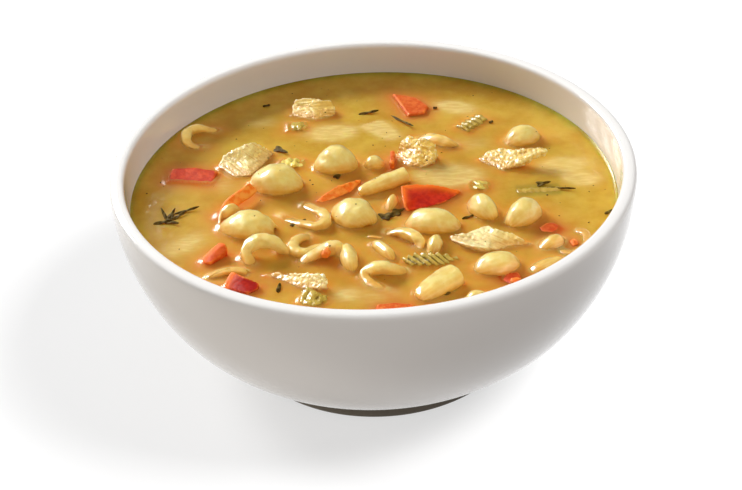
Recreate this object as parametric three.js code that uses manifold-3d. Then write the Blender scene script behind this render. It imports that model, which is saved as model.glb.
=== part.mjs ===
// A bowl of chicken and vegetable soup with small pasta shells.
// Millimetres, +Z up, origin at the middle of the foot ring where the bowl stands.

import * as THREE from 'three';
import { mergeVertices } from 'three/addons/utils/BufferGeometryUtils.js';
import Module from 'manifold-3d';

const wasm = await Module();
wasm.setup();

// ---- driving dimensions ----
const rimRadius = 76;
const bowlHeight = 62;
const lipRadius = 2.1;
const outerDepth = 70; // how deep the outer wall's ellipse would reach without its foot
const innerDepth = 64;
const floorHeight = 7;
const footRadius = 43.5;
const footHeight = 2.4;
const footWidth = 4.5;
const bowlSides = 36;

const soupLevel = 50.8;
const gap = 0.3;

const doughThickness = 1.4;
const shellTip = 74; // degrees of a circle that half a shell's outline takes, from its middle to a tip
const tipBluntness = 0.8; // under 1 makes a shell's tips rounder
const lopsidedness = 0.06; // one end of a shell is a little fuller than the other
const edgeCurl = 0.12; // how far a shell's edges turn in

const glaze = new THREE.MeshStandardMaterial({ color: 0xf1efec, roughness: 0.2 });
const liquid = new THREE.MeshStandardMaterial({ color: 0xd09a3c, roughness: 0.25 });
const dough = new THREE.MeshStandardMaterial({ color: 0xf2dc9c, roughness: 0.35 });
const meat = new THREE.MeshStandardMaterial({ color: 0xf3d9a6, roughness: 0.55 });
const carrotFlesh = new THREE.MeshStandardMaterial({ color: 0xe5511b, roughness: 0.35 });
const celeryFlesh = new THREE.MeshStandardMaterial({ color: 0xa9a443, roughness: 0.35 });

const degrees = THREE.MathUtils.degToRad;

// ---- solids ----

function weld(geometry) {
  const bare = geometry.clone();
  bare.deleteAttribute('normal');
  bare.deleteAttribute('uv');
  return mergeVertices(bare, 1e-4);
}

function toSolid(geometry) {
  const welded = weld(geometry);
  return new wasm.Manifold(new wasm.Mesh({
    numProp: 3,
    vertProperties: Float32Array.from(welded.attributes.position.array),
    triVerts: Uint32Array.from(welded.index.array),
  }));
}

function toGeometry(solid) {
  const mesh = solid.getMesh();
  const geometry = new THREE.BufferGeometry();
  geometry.setAttribute('position', new THREE.BufferAttribute(mesh.vertProperties, 3));
  geometry.setIndex(new THREE.BufferAttribute(mesh.triVerts, 1));
  return geometry;
}

// Moves every vertex out so that each face around it lies `distance` further out.
function grown(geometry, distance) {
  const welded = weld(geometry);
  const { index, attributes: { position } } = welded;
  const normals = Array.from({ length: position.count }, () => []);
  for (let i = 0; i < index.count; i += 3) {
    const ids = [0, 1, 2].map((k) => index.getX(i + k));
    const [a, b, c] = ids.map((id) => new THREE.Vector3().fromBufferAttribute(position, id));
    const normal = b.sub(a).cross(c.sub(a)).normalize();
    ids.forEach((id) => normals[id].push(normal));
  }
  const settle = 0.02; // keeps the least-squares step steady where faces are nearly parallel
  normals.forEach((around, v) => {
    const spread = new THREE.Matrix3().multiplyScalar(settle);
    const sum = new THREE.Vector3();
    for (const normal of around) {
      const n = normal.toArray();
      n.forEach((p, row) => n.forEach((q, column) => { spread.elements[row * 3 + column] += p * q; }));
      sum.add(normal);
    }
    const step = sum.multiplyScalar(distance).applyMatrix3(spread.invert()).clampLength(0, distance * 2);
    const moved = step.add(new THREE.Vector3().fromBufferAttribute(position, v));
    position.setXYZ(v, ...moved.toArray());
  });
  return welded;
}

function indexed(points, index) {
  const geometry = new THREE.BufferGeometry().setFromPoints(points);
  geometry.setIndex(index);
  return geometry;
}

// A closed skin over rings of points; each ring has the same number of points.
function closedRings(rings) {
  const count = rings[0].length;
  const points = rings.flat();
  const index = [];
  for (let r = 0; r + 1 < rings.length; r += 1) {
    for (let k = 0; k < count; k += 1) {
      const a = r * count + k;
      const b = r * count + (k + 1) % count;
      index.push(a, b, b + count, a, b + count, a + count);
    }
  }
  const middle = (ring) => ring.reduce((sum, p) => sum.add(p), new THREE.Vector3())
    .divideScalar(ring.length);
  const low = points.push(middle(rings[0])) - 1;
  const high = points.push(middle(rings[rings.length - 1])) - 1;
  const last = (rings.length - 1) * count;
  for (let k = 0; k < count; k += 1) {
    const next = (k + 1) % count;
    index.push(low, next, k, high, last + k, last + next);
  }
  return indexed(points, index);
}

// ---- bowl ----

const lipHeight = bowlHeight - lipRadius;
const innerRimRadius = rimRadius - 2 * lipRadius;
const coveHeight = floorHeight + 2; // where the inner wall turns into the floor
const coveWidth = 5;

function innerRadiusAt(height) {
  return innerRimRadius * Math.sqrt(1 - ((lipHeight - height) / innerDepth) ** 2);
}

function wallPoints(semiRadius, depth, lowest, steps) {
  const lowAngle = Math.asin((lipHeight - lowest) / depth);
  return Array.from({ length: steps + 1 }, (_, k) => {
    const angle = lowAngle * (1 - k / steps);
    return new THREE.Vector2(semiRadius * Math.cos(angle), lipHeight - depth * Math.sin(angle));
  });
}

function bowlGeometry() {
  const footInner = footRadius - footWidth;
  const lip = [45, 90, 135].map((turn) => new THREE.Vector2(
    rimRadius - lipRadius + lipRadius * Math.cos(degrees(turn)),
    lipHeight + lipRadius * Math.sin(degrees(turn)),
  ));
  const profile = [
    new THREE.Vector2(0, footHeight),
    new THREE.Vector2(footInner, footHeight),
    new THREE.Vector2(footInner + 1, 0),
    new THREE.Vector2(footRadius - 1, 0),
    new THREE.Vector2(footRadius, 1),
    ...wallPoints(rimRadius, outerDepth, footHeight, 6),
    ...lip,
    ...wallPoints(innerRimRadius, innerDepth, coveHeight, 5).reverse(),
    new THREE.Vector2(innerRadiusAt(coveHeight) - coveWidth, floorHeight),
    new THREE.Vector2(0, floorHeight),
  ];
  return new THREE.LatheGeometry(profile, bowlSides).rotateX(Math.PI / 2);
}

// ---- pieces in the soup ----

// at is a piece's middle, its height counted from the level of the soup; turn is about the
// upright, tilt lifts the tip that turn points to, and roll turns the piece on its length.
function pieceMesh(prefix, material, { name, geometry, pocket, at, turn = 0, tilt = 0, roll = 0 }) {
  const mesh = new THREE.Mesh(geometry, material);
  mesh.name = `${prefix}_${name}`;
  mesh.position.set(at[0], at[1], soupLevel + at[2]);
  mesh.rotation.set(degrees(roll), degrees(-tilt), degrees(turn), 'ZYX');
  mesh.updateMatrixWorld();
  return { mesh, pocket: (pocket ?? geometry).clone().applyMatrix4(mesh.matrixWorld) };
}

// ---- pasta shells ----

// A cooked shell: a curled sheet of dough, fullest at its middle and narrowing to both tips.
// Its back is up, its opening down and its length along X; `opening` is the angle left open
// and `arch` how far the tips hang below the middle.
function shellSheet([length, width, height], { opening, arch, steps: [along, around] }) {
  const tip = degrees(shellTip);
  const half = degrees((360 - opening) / 2);
  const outerPoint = (t, s) => {
    const section = Math.cos(t * tip) ** tipBluntness * (1 + lopsidedness * t) * (1 - edgeCurl * s * s);
    return new THREE.Vector3(
      0.5 * length * Math.sin(t * tip) / Math.sin(tip),
      0.5 * width * section * Math.sin(s * half),
      0.5 * height * section * Math.cos(s * half) - arch * t * t,
    );
  };
  const step = 1e-3;
  const innerPoint = (t, s) => {
    const alongEdge = outerPoint(t + step, s).sub(outerPoint(t - step, s));
    const aroundEdge = outerPoint(t, s + step).sub(outerPoint(t, s - step));
    const inward = aroundEdge.cross(alongEdge).normalize();
    return outerPoint(t, s).addScaledVector(inward, doughThickness);
  };
  const row = (side, i) => Array.from(
    { length: around + 1 },
    (_, j) => side(2 * i / along - 1, 2 * j / around - 1),
  );
  const outerRows = Array.from({ length: along + 1 }, (_, i) => row(outerPoint, i));
  const innerRows = Array.from({ length: along + 1 }, (_, i) => row(innerPoint, i));
  return { outerRows, innerRows };
}

function shellGeometry({ outerRows, innerRows }) {
  const count = outerRows[0].length;
  const rings = outerRows.map((row, i) => [...row, ...innerRows[i].toReversed()]);
  const points = rings.flat();
  const around = 2 * count;
  const index = [];
  const quad = (a, b, c, d) => index.push(a, b, c, a, c, d);
  for (let i = 0; i + 1 < rings.length; i += 1) {
    for (let k = 0; k < around; k += 1) {
      const a = i * around + k;
      const b = i * around + (k + 1) % around;
      quad(b, a, a + around, b + around);
    }
  }
  const last = (rings.length - 1) * around;
  for (let k = 0; k + 1 < count; k += 1) {
    const opposite = around - 1 - k;
    quad(k, k + 1, opposite - 1, opposite);
    quad(last + k + 1, last + k, last + opposite, last + opposite - 1);
  }
  return indexed(points, index);
}

const shellSteps = { full: [5, 5], slim: [4, 5], small: [4, 4] };

// A shell with its back up leaves a closed pocket in the soup; an open one is filled by it.
function shell(name, at, size, { turn, tilt, roll = 0, opening = 110, arch = 1.2, detail = 'full' }) {
  const sheet = shellSheet(size, { opening, arch, steps: shellSteps[detail] });
  const backUp = Math.cos(degrees(roll)) > 0;
  return pieceMesh('shell', dough, {
    name, at, turn, tilt, roll,
    geometry: shellGeometry(sheet),
    pocket: backUp ? closedRings(sheet.outerRows.toReversed()) : undefined,
  });
}

function shells() {
  return [
    shell('left_wall', [-52.6, 32.7, 0.2], [15, 11, 9.5], { turn: -16, tilt: 2, roll: 206, opening: 130 }),
    shell('back_left', [-28.7, 3.8, -0.6], [18, 15, 14.6], { turn: -6 }),
    shell('back_middle', [-11, 13, -0.6], [15, 13, 13.6], { turn: 4 }),
    shell('behind_sliver', [0.6, 13, -1], [7.9, 7.6, 10.5], { turn: 8, detail: 'slim' }),
    shell('long', [2.8, 1.9, 0.2], [21, 9.2, 10.5], { turn: 35, tilt: 0, roll: 8 }),
    shell('middle', [-6.5, -14.7, -0.8], [13.5, 13.5, 13.8], { turn: -60 }),
    shell('cup_middle', [-20.7, -14.1, 0.3], [14, 9, 8], { turn: -9, tilt: -6, roll: 192, opening: 130 }),
    shell('left', [-35.8, -18.9, -0.4], [17.5, 13.5, 13.2], { turn: -10, tilt: 2 }),
    shell('tip_left', [-40.8, -10.7, -0.4], [6.4, 4.4, 8.6], { turn: 36, detail: 'small' }),
    shell('cup_left', [-29.9, -33.2, 0.7], [14.5, 13.5, 12], { turn: -4, roll: 238, opening: 140 }),
    shell('hook', [-17.5, -27, 0.2], [12, 8, 8], { turn: -5, roll: 196, opening: 130, detail: 'slim' }),
    shell('torn', [-14.7, -35.2, -0.4], [11.5, 8, 10], { turn: 20, roll: 15, detail: 'slim' }),
    shell('upright', [-6.3, -36, -0.2], [13, 5.4, 9], { turn: -83, tilt: -8, detail: 'small' }),
    shell('blade', [2.2, -32.6, -0.5], [13, 5.4, 8], { turn: -56, tilt: -6, detail: 'small' }),
    shell('hood', [8.7, -29.6, -0.2], [12.5, 8, 8.5], { turn: -43, roll: 235, opening: 140, detail: 'slim' }),
    shell('tip_front', [16.6, -32.2, -0.8], [8.6, 4.8, 7.5], { turn: 73, tilt: 28, detail: 'small' }),
    shell('right', [16.3, -20.7, -0.6], [18, 12, 12.6], { turn: -8 }),
    shell('tip_back', [5.2, -9.1, -0.2], [8, 4.6, 7.5], { turn: 68, tilt: 16, detail: 'small' }),
    shell('right_back', [31.3, -14.3, -0.6], [12.6, 9.6, 12.6], { turn: -55 }),
    shell('far_right', [42.6, -18.5, -0.6], [13.5, 11, 13.4], { turn: 40 }),
    shell('back_right', [46.4, 24.7, -0.8], [13.5, 11, 10.4], { turn: 18 }),
    shell('behind_meat', [20.9, 25.1, -1.2], [16.5, 7, 8], { turn: -28, detail: 'slim' }),
    shell('front_right', [32.5, -41.6, -0.8], [14.2, 11.6, 12.2], { turn: 12 }),
    shell('front_long', [16.5, -49.7, -1.3], [20, 10.4, 11], { turn: 38 }),
    shell('front_cup', [3.2, -44.4, -0.4], [15.4, 12, 11.5], { turn: -6, roll: 236, opening: 140 }),
    shell('front_rim', [26.1, -56.3, -0.4], [9, 7.5, 8.5], { turn: 15, detail: 'small' }),
    shell('right_rim', [47, -42, -2.3], [12, 8, 7.5], { turn: 20, roll: 215, detail: 'small' }),
    shell('left_rim', [-40.6, -41.4, -2.2], [13, 9, 8], { turn: 12, roll: 215, detail: 'small' }),
    shell('right_low', [49, -31.6, -1.6], [9, 7, 7], { turn: 30, detail: 'small' }),
  ];
}

// ---- chicken ----

// A torn lump of meat: a rounded block whose outline wanders in and out.
function meatGeometry([length, width, height], seed) {
  const sides = 8;
  const squareness = 3.2; // 2 would be an ellipse
  const layers = [[-0.5, 0.84], [-0.24, 1], [0.26, 0.98], [0.5, 0.78]]; // height and how far it spreads
  return closedRings(layers.map(([level, spread], layer) => Array.from({ length: sides }, (_, k) => {
    const angle = 2 * Math.PI * k / sides;
    const c = Math.cos(angle);
    const s = Math.sin(angle);
    const squared = (Math.abs(c) ** squareness + Math.abs(s) ** squareness) ** (-1 / squareness);
    const ragged = 1 + 0.09 * Math.sin(3 * angle + seed) + 0.06 * Math.sin(5 * angle + 2 * seed + layer);
    const lift = 0.05 * height * Math.sin(2 * angle + 3 * seed);
    const reach = 0.5 * spread * squared * ragged;
    return new THREE.Vector3(length * c * reach, width * s * reach, level * height + lift);
  })));
}

function chicken(name, at, size, { seed, ...turns }) {
  return pieceMesh('chicken', meat, { name, at, ...turns, geometry: meatGeometry(size, seed) });
}

function chickenPieces() {
  return [
    chicken('back', [-18.3, 46.8, 0.2], [13, 9, 9], { turn: -8, seed: 0.4 }),
    chicken('left', [-39, 17.6, 0.9], [15.5, 18, 6], { turn: 4, roll: -20, tilt: 5, seed: 1.7 }),
    chicken('middle', [13.5, 18, 0.8], [12, 9, 10], { turn: -5, seed: 2.9 }),
    chicken('right', [43, 12.6, 0.4], [21.5, 8, 6], { turn: 9, seed: 4.1 }),
    chicken('front_right', [33.5, -31, 0.3], [24, 8, 6.5], { turn: -8, seed: 5.2 }),
    chicken('front_left', [-21.3, -45.4, 0.2], [18, 7.5, 6], { turn: -8, seed: 0.9 }),
  ];
}

// ---- carrot ----

// A cut piece: a flat outline with a straight thickness, a little narrower at its upper face.
function cutGeometry(outline, thickness, draft) {
  const ring = (level, spread) => outline.map(([x, y]) => new THREE.Vector3(x * spread, y * spread, level));
  return closedRings([ring(-thickness / 2, 1), ring(thickness / 2, draft)]);
}

// The outline of a dice, one of its sides left round where the carrot's skin was.
function diceOutline(length, width, bulge) {
  const [a, b] = [length / 2, width / 2];
  const side = [-0.5, 0, 0.5].map((t) => [a * -t * 2, b + bulge * (1 - 4 * t * t)]);
  return [[-a, -b], [a, -b * 0.9], ...side.map(([x, y]) => [x, y])];
}

function carrot(name, at, outline, { thickness, draft = 0.94, ...turns }) {
  const geometry = cutGeometry(outline, thickness, draft);
  return pieceMesh('carrot', carrotFlesh, { name, at, ...turns, geometry });
}

// A thin shaving that lies bent on the soup.
function carrotShaving() {
  const route = new THREE.CatmullRomCurve3([
    new THREE.Vector3(1.8, 7, 1.2),
    new THREE.Vector3(-0.8, 1.2, 1.4),
    new THREE.Vector3(-3.8, -4.2, 1),
    new THREE.Vector3(-5.8, -9.4, -1),
  ]);
  const [halfWidth, halfThickness] = [2, 0.9];
  const section = new THREE.Shape([
    new THREE.Vector2(-halfThickness, -halfWidth),
    new THREE.Vector2(halfThickness, -halfWidth),
    new THREE.Vector2(halfThickness, halfWidth),
    new THREE.Vector2(-halfThickness, halfWidth),
  ]);
  const geometry = new THREE.ExtrudeGeometry(section, { steps: 6, extrudePath: route });
  return pieceMesh('carrot', carrotFlesh, { name: 'shaving', at: [-41.4, -3.7, 0.4], geometry });
}

function carrots() {
  const slice = [[-5.8, 8.2], [-1, -7], [4.8, -6], [6.4, -1.4], [2.4, 5]];
  const taper = [[-8.6, 5.6], [-9, -5], [0, -4.5], [7.6, 1.6], [7.4, 5.4], [0, 6.2]];
  const corner = [[-3, 4.4], [-5, -4.4], [4, -4.6], [6.6, -1.6]];
  return [
    carrot('back', [12.7, 48.2, -2.4], slice, { thickness: 5.5, tilt: -1 }),
    carrot('left', [-54.2, 10.4, -2.6], diceOutline(15, 7, 1), { thickness: 5, turn: -10, roll: 12 }),
    carrotShaving(),
    carrot('strip', [-11.5, -2, -0.4], diceOutline(12.4, 3.2, 0.6), { thickness: 3, turn: 35 }),
    carrot('sliver', [6, 13.4, 0.6], diceOutline(6.6, 1.6, 0.2), { thickness: 5, turn: -95, tilt: -6 }),
    carrot('wedge', [17, -9.9, -1], taper, { thickness: 4.4, turn: -12, roll: 50, tilt: -9 }),
    carrot('bar', [-44.5, -31, -0.4], diceOutline(9.5, 3.8, 0.5), { thickness: 5, turn: 62, tilt: 6 }),
    carrot('front_left', [-36.4, -47.2, 0.4], corner, { thickness: 4.4, turn: -12, roll: 38, tilt: -8 }),
    carrot('front', [4.3, -59.7, -2.2], diceOutline(10.5, 5.4, 0.8), { thickness: 5, turn: -4 }),
    carrot('front_right', [37.2, -49.9, -2.2], diceOutline(9, 4.4, 0.8), { thickness: 5, turn: -10 }),
    carrot('right', [50.6, -24, -2.5], diceOutline(7.5, 5, 1), { thickness: 5, turn: 5 }),
  ];
}

// ---- celery ----

// A cut of stalk: a hollow crescent section, ribbed along its outer side.
function celeryGeometry([length, width, thickness], ribs) {
  const sweep = degrees(95);
  const radius = 0.5 * width / Math.sin(sweep / 2);
  const point = (r, t) => {
    const angle = t * sweep / 2;
    return new THREE.Vector2(r * Math.sin(angle), r * Math.cos(angle) - radius);
  };
  const outside = Array.from({ length: 2 * ribs + 1 }, (_, k) => {
    const ribHeight = k % 2 === 1 ? 0.35 : 0;
    return point(radius + ribHeight, k / ribs - 1);
  });
  const inside = [1, 0.4, -0.4, -1].map((t) => point(radius - thickness * (1 - 0.3 * t * t), t));
  const shape = new THREE.Shape([...outside, ...inside]);
  const geometry = new THREE.ExtrudeGeometry(shape, { depth: length, bevelEnabled: false });
  return geometry.translate(0, 0, -length / 2).rotateY(Math.PI / 2).rotateX(Math.PI / 2);
}

function celery(name, at, size, { ribs, ...turns }) {
  return pieceMesh('celery', celeryFlesh, { name, at, ...turns, geometry: celeryGeometry(size, ribs) });
}

function celeryPieces() {
  return [
    celery('back_left', [-23.3, 38.1, 0.6], [5, 7, 4], { ribs: 4, turn: 92 }),
    celery('behind_shell', [-24.5, 15.8, 1], [4.5, 8.5, 4], { ribs: 4, turn: 84 }),
    celery('back_right', [31.7, 35.5, 0.4], [10, 5, 3], { ribs: 3, turn: 44 }),
    celery('cube', [31.1, -0.6, 0.7], [4.5, 6, 3], { ribs: 3, turn: 80 }),
    celery('ribbed', [15.3, -38.8, 0.9], [14, 4.6, 2.4], { ribs: 5, turn: -11 }),
    celery('front_left', [-15.7, -53.9, 0.8], [6.6, 6, 3.4], { ribs: 4, turn: -30 }),
    celery('right', [48.2, -3.9, 0.1], [13, 7, 3], { ribs: 3, turn: 2 }),
  ];
}

// ---- broth ----

function brothGeometry(pieces) {
  const wallGap = 1.6 * gap; // sideways, so that the sloping faceted wall is gap away everywhere
  const wall = wallPoints(innerRimRadius, innerDepth, coveHeight, 5)
    .filter((point) => point.y < soupLevel - 3)
    .map((point) => new THREE.Vector2(point.x - wallGap, point.y + gap));
  const profile = [
    new THREE.Vector2(0, floorHeight + gap),
    new THREE.Vector2(innerRadiusAt(coveHeight) - coveWidth, floorHeight + gap),
    ...wall,
    new THREE.Vector2(innerRadiusAt(soupLevel) - wallGap, soupLevel),
    new THREE.Vector2(0, soupLevel),
  ];
  const filling = toSolid(new THREE.LatheGeometry(profile, bowlSides).rotateX(Math.PI / 2));
  const left = pieces.reduce((solid, { pocket }) => solid.subtract(toSolid(grown(pocket, gap))), filling);
  const bodies = left.decompose().sort((a, b) => b.volume() - a.volume());
  return toGeometry(bodies[0]);
}

// ---- the whole ----

const pieces = [...shells(), ...chickenPieces(), ...carrots(), ...celeryPieces()];

const bowl = new THREE.Mesh(bowlGeometry(), glaze);
bowl.name = 'bowl';
const broth = new THREE.Mesh(brothGeometry(pieces), liquid);
broth.name = 'broth';

const soup = new THREE.Group();
soup.add(bowl, broth, ...pieces.map(({ mesh }) => mesh));

export default soup;
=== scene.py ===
# A bowl of chicken soup with small pasta shells, carrot, celery and herbs.
import math
import random

import bpy
from mathutils import Euler, Matrix, Vector
from mathutils.bvhtree import BVHTree
from mathutils.geometry import intersect_point_line


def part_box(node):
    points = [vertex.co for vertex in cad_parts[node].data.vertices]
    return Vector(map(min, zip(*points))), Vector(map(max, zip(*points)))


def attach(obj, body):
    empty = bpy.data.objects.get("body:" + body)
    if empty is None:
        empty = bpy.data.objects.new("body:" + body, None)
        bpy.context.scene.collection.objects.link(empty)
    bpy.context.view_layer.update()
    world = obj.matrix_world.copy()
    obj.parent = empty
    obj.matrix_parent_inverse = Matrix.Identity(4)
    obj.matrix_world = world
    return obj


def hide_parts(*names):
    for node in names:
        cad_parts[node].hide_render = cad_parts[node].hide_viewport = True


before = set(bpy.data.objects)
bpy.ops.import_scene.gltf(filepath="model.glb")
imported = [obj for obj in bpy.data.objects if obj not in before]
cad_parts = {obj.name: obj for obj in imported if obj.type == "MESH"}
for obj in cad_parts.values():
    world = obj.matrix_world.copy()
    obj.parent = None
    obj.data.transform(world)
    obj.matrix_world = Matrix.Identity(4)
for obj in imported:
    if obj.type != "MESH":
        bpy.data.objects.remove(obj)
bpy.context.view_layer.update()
mm = 0.001
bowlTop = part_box("bowl")[1]
rimRadius = bowlTop.x
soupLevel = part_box("broth")[1].z


def tone(red, green, blue):
    # a colour as it is mixed, 0 to 255, turned into light
    def light(value):
        value /= 255
        return value / 12.92 if value <= 0.04045 else ((value + 0.055) / 1.055) ** 2.4
    return (light(red), light(green), light(blue), 1)


def addObject(name, data):
    made = bpy.data.objects.new(name, data)
    bpy.context.scene.collection.objects.link(made)
    return made


def pick(piece):
    bpy.ops.object.select_all(action="DESELECT")
    piece.select_set(True)
    bpy.context.view_layer.objects.active = piece


def begin(name, primitive, **facts):
    # a new primitive, which alone is selected
    bpy.ops.object.select_all(action="DESELECT")
    primitive(**facts)
    bpy.context.object.name = name
    return bpy.context.object


def openMesh(kind=None):
    # into edit mode, with all of the mesh selected
    bpy.ops.object.mode_set(mode="EDIT")
    if kind:
        bpy.ops.mesh.select_mode(type=kind)
    bpy.ops.mesh.select_all(action="SELECT")


def closeMesh():
    # faces outwards, and out of edit mode
    bpy.ops.mesh.select_all(action="SELECT")
    bpy.ops.mesh.normals_make_consistent(inside=False)
    bpy.ops.object.mode_set(mode="OBJECT")


def drawOut(extrude, rings):
    # the selected ring is raised and widened again and again, as on a wheel
    radius, height = rings[0]
    for newRadius, newHeight in rings[1:]:
        extrude(TRANSFORM_OT_translate={"value": (0, 0, newHeight - height)})
        share = newRadius / radius
        bpy.ops.transform.resize(value=(share, share, 1), center_override=(0, 0, newHeight))
        radius, height = newRadius, newHeight


def finishModifier(piece, kind, **settings):
    modifier = piece.modifiers.new(kind.title(), kind)
    for key, value in settings.items():
        setattr(modifier, key, value)
    pick(piece)
    bpy.ops.object.modifier_apply(modifier=modifier.name)


def smooth(piece):
    pick(piece)
    bpy.ops.object.shade_smooth()


def settle(piece):
    # the place goes into the mesh
    pick(piece)
    bpy.ops.object.transform_apply(location=True, rotation=True, scale=True)


def subdivide(piece, levels):
    finishModifier(piece, "SUBSURF", levels=levels, render_levels=levels)


def remesh(piece, grain):
    finishModifier(piece, "REMESH", mode="VOXEL", voxel_size=grain * mm)


def relax(piece, rounds):
    finishModifier(piece, "SMOOTH", factor=0.5, iterations=rounds)


def roundEdges(piece, width, angle):
    finishModifier(piece, "BEVEL", width=width, segments=2, angle_limit=math.radians(angle))


def roughen(piece, kind, grain, strength, stretch=(1, 1, 1), turn=0, **look):
    # presses a pattern into the surface: grain is its size in mm, stretched along three turned directions
    guide = addObject("guide", None)
    guide.rotation_euler.z = math.radians(turn)
    guide.scale = [mm * grain * s for s in stretch]
    pattern = bpy.data.textures.new("pattern", kind)
    pattern.noise_scale = 1
    for key, value in look.items():
        setattr(pattern, key, value)
    bpy.context.view_layer.update()
    finishModifier(
        piece, "DISPLACE", texture=pattern, texture_coords="OBJECT", texture_coords_object=guide,
        strength=strength * mm, mid_level=0.5,
    )
    bpy.data.objects.remove(guide)
    bpy.data.textures.remove(pattern)


def cageOf(node, name):
    # a merged copy of a plain solid, in quads, to shape further
    cage = addObject(name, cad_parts[node].data.copy())
    cage.data.materials.clear()
    pick(cage)
    bpy.ops.mesh.customdata_custom_splitnormals_clear()
    openMesh()
    bpy.ops.mesh.remove_doubles(threshold=0.01 * mm)
    bpy.ops.mesh.tris_convert_to_quads(face_threshold=math.pi, shape_threshold=math.pi)
    bpy.ops.object.mode_set(mode="OBJECT")
    return cage


def paint(piece, name, values):
    # one number for each point of a mesh, which its material reads by name
    layer = piece.data.attributes.get(name) or piece.data.attributes.new(name, "FLOAT", "POINT")
    layer.data.foreach_set("value", values)


def paintHollows(piece, name="hollow", reach=0.3 * mm, rounds=2):
    # how far each point lies below its neighbours, spread a little: grooves are above 0.5
    mesh = piece.data
    ends = [tuple(edge.vertices) for edge in mesh.edges]
    points = [v.co.copy() for v in mesh.vertices]
    sums = [Vector() for _ in points]
    counts = [0] * len(points)
    for a, b in ends:
        sums[a] += points[b]
        sums[b] += points[a]
        counts[a] += 1
        counts[b] += 1
    depth = [
        (sums[k] / max(counts[k], 1) - points[k]).dot(mesh.vertices[k].normal) for k in range(len(points))
    ]
    for _ in range(rounds):
        total = list(depth)
        for a, b in ends:
            total[a] += depth[b]
            total[b] += depth[a]
        depth = [total[k] / (counts[k] + 1) for k in range(len(points))]
    paint(piece, name, [min(1, max(0, 0.5 + 0.5 * d / reach)) for d in depth])


def dress(piece, finish, slot, *nodes):
    piece.data.materials.clear()
    piece.data.materials.append(finish)
    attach(piece, "root")
    if nodes:
        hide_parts(*nodes)


class Wire:
    # one output of a node, so that shader maths reads as sums
    def __init__(self, finish, socket):
        self.finish = finish
        self.socket = socket

    def math(self, operation, *values):
        return self.finish.node("ShaderNodeMath", {"operation": operation}, dict(enumerate(values)))

    def __add__(self, other):
        return self.math("ADD", self, other)

    def __sub__(self, other):
        return self.math("SUBTRACT", self, other)

    def __rsub__(self, other):
        return self.math("SUBTRACT", other, self)

    def __mul__(self, other):
        return self.math("MULTIPLY", self, other)

    def __truediv__(self, other):
        return self.math("DIVIDE", self, other)

    __radd__ = __add__
    __rmul__ = __mul__

    def step(self, low, high):
        # 0 below low, 1 above high, with a soft passage
        settings = {"interpolation_type": "SMOOTHSTEP"}
        return self.finish.node("ShaderNodeMapRange", settings, {0: self, 1: low, 2: high})


class Finish:
    # a material with its named tones, and the means to wire it
    def __init__(self, name, tones):
        self.tones = {key: tone(*value) for key, value in tones.items()}
        self.material = bpy.data.materials.new(name)
        self.material.use_nodes = True
        self.tree = self.material.node_tree
        self.tree.nodes.clear()

    def node(self, kind, settings=None, inputs=None, output=0):
        made = self.tree.nodes.new(kind)
        for key, value in (settings or {}).items():
            setattr(made, key, value)
        for key, value in (inputs or {}).items():
            if isinstance(value, Wire):
                self.tree.links.new(value.socket, made.inputs[key])
            else:
                made.inputs[key].default_value = value
        return Wire(self, made.outputs[output]) if made.outputs else None

    def place(self):
        return self.node("ShaderNodeTexCoord", output="Object")

    def height(self, ground=soupLevel):
        # above the soup, in mm
        level = self.node("ShaderNodeSeparateXYZ", inputs={0: self.place()}, output="Z")
        return (level - ground) / mm

    def noise(self, grain, detail=2, roughness=0.5, stretch=None, where=None):
        place = where or self.place()
        if stretch:
            place = self.node("ShaderNodeMapping", inputs={"Vector": place, "Scale": stretch})
        inputs = {"Vector": place, "Scale": 1 / (grain * mm), "Detail": detail, "Roughness": roughness}
        return self.node("ShaderNodeTexNoise", inputs=inputs)

    def painted(self, name):
        return self.node("ShaderNodeAttribute", {"attribute_name": name}, output="Fac")

    def mix(self, share, first, second):
        # two colours, wired or by name: a Mix node takes them at its sockets 6 and 7 and gives one at 2
        first, second = [self.tones[c] if isinstance(c, str) else c for c in (first, second)]
        settings = {"data_type": "RGBA", "clamp_factor": True}
        return self.node("ShaderNodeMix", settings, {0: share, 6: first, 7: second}, output=2)

    def soak(self, base, stain, waver, low, high, share=1):
        # the broth stains a piece about its waterline; on pasta and meat the darker low tone also stands in
        # for the shade on their lower parts
        return self.mix((1 - (self.height() + waver).step(low, high)) * share, base, stain)

    def bump(self, height, distance, strength):
        inputs = {"Height": height, "Distance": distance * mm, "Strength": strength}
        return self.node("ShaderNodeBump", inputs=inputs)

    def close(self, inputs):
        surface = self.node("ShaderNodeBsdfPrincipled", inputs=inputs)
        self.node("ShaderNodeOutputMaterial", inputs={"Surface": surface})
        return self.material


def wetness(weight):
    return {"Coat Weight": weight, "Coat Roughness": 0.035, "Coat IOR": 1.5}


def softness(weight, radius, depth):
    # how far light wanders under the surface in red, green and blue: depth in mm
    return {"Subsurface Weight": weight, "Subsurface Radius": radius, "Subsurface Scale": depth * mm}


glazeTones = {
    "fired": (231, 229, 226), "shaded": (227, 224, 220), "clayWithPaintedShade": (104, 97, 86), "darkClayWithPaintedShade": (86, 80, 70),
}


def glazeFinish():
    glaze = Finish("glaze", glazeTones)
    waver = glaze.noise(9, detail=3)
    bare = 1 - (glaze.height(ground=0) + waver * 0.4).step(3.8, 4.8)  # the foot has no glaze; that band is painted dark, which also paints the shade where the bowl meets the table
    fired = glaze.mix(waver * 0.35, "fired", "shaded")
    clayWithPaintedShade = glaze.mix(glaze.noise(0.7, detail=3), "clayWithPaintedShade", "darkClayWithPaintedShade")
    return glaze.close({
        "Base Color": glaze.mix(bare, fired, clayWithPaintedShade),
        "Roughness": 0.11 + bare * 0.6,
        "Coat Weight": 0.5 - bare * 0.5,
        "Coat Roughness": 0.05,
        "IOR": 1.5,
        "Normal": glaze.bump(waver, 0.05, strength=0.35),
    })


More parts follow.
